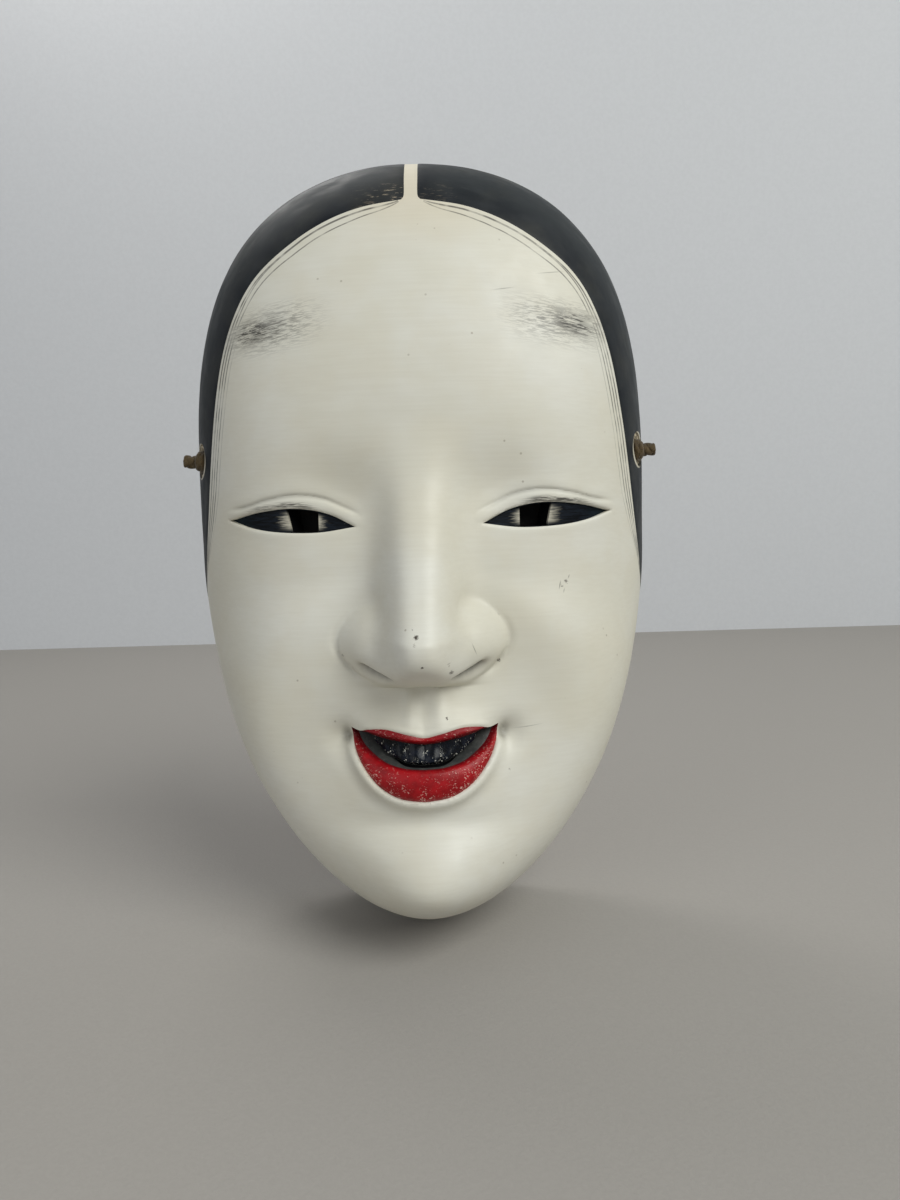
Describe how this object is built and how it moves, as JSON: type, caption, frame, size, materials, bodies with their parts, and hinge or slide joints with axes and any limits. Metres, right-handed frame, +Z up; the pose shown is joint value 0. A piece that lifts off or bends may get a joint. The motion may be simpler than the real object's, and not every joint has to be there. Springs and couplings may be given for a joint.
{
  "type": "noh mask",
  "caption": "Carved and painted noh mask of a young woman with a hollow back, open pupils and a swinging hanging cord.",
  "frame": {"origin": "on the flat back face of the wooden rim, in the middle of the rim's width under the chin", "axes": "+Z up the face from chin to hair parting, +X to the right as seen by someone facing the mask, +Y out of the back; the face looks along -Y"},
  "size_m": [0.133, 0.0638, 0.2137],
  "materials": {
    "cypress_wood": "bare carved wood with a darkened stain",
    "ivory_ground": "polished eggshell shell-lime paint, slightly aged",
    "black_ink": "satin slate-black ink",
    "lip_red": "worn satin vermilion",
    "tooth_black": "glossy blue-black lacquer with worn flecks",
    "eye_paint": "white shaded to blue-black ink",
    "olive_cord": "braided cord"
  },
  "bodies": {
    "mask": {"wood_core": "cypress_wood", "face_ground": "ivory_ground", "right_hair": "black_ink", "left_hair": "black_ink", "upper_lip": "lip_red", "lower_lip": "lip_red", "upper_teeth": "tooth_black", "right_eye": "eye_paint", "left_eye": "eye_paint", "right_cord_knot": "olive_cord", "left_cord_knot": "olive_cord"},
    "cord": {"hanging_cord": "olive_cord"}
  },
  "joints": [
    {"name": "hanging_cord_swing", "type": "hinge", "parent": "mask", "child": "cord", "pos_m": [0, -0.0141, 0.1266], "axis": [1, 0, 0], "range_deg": [0, 155]}
  ]
}
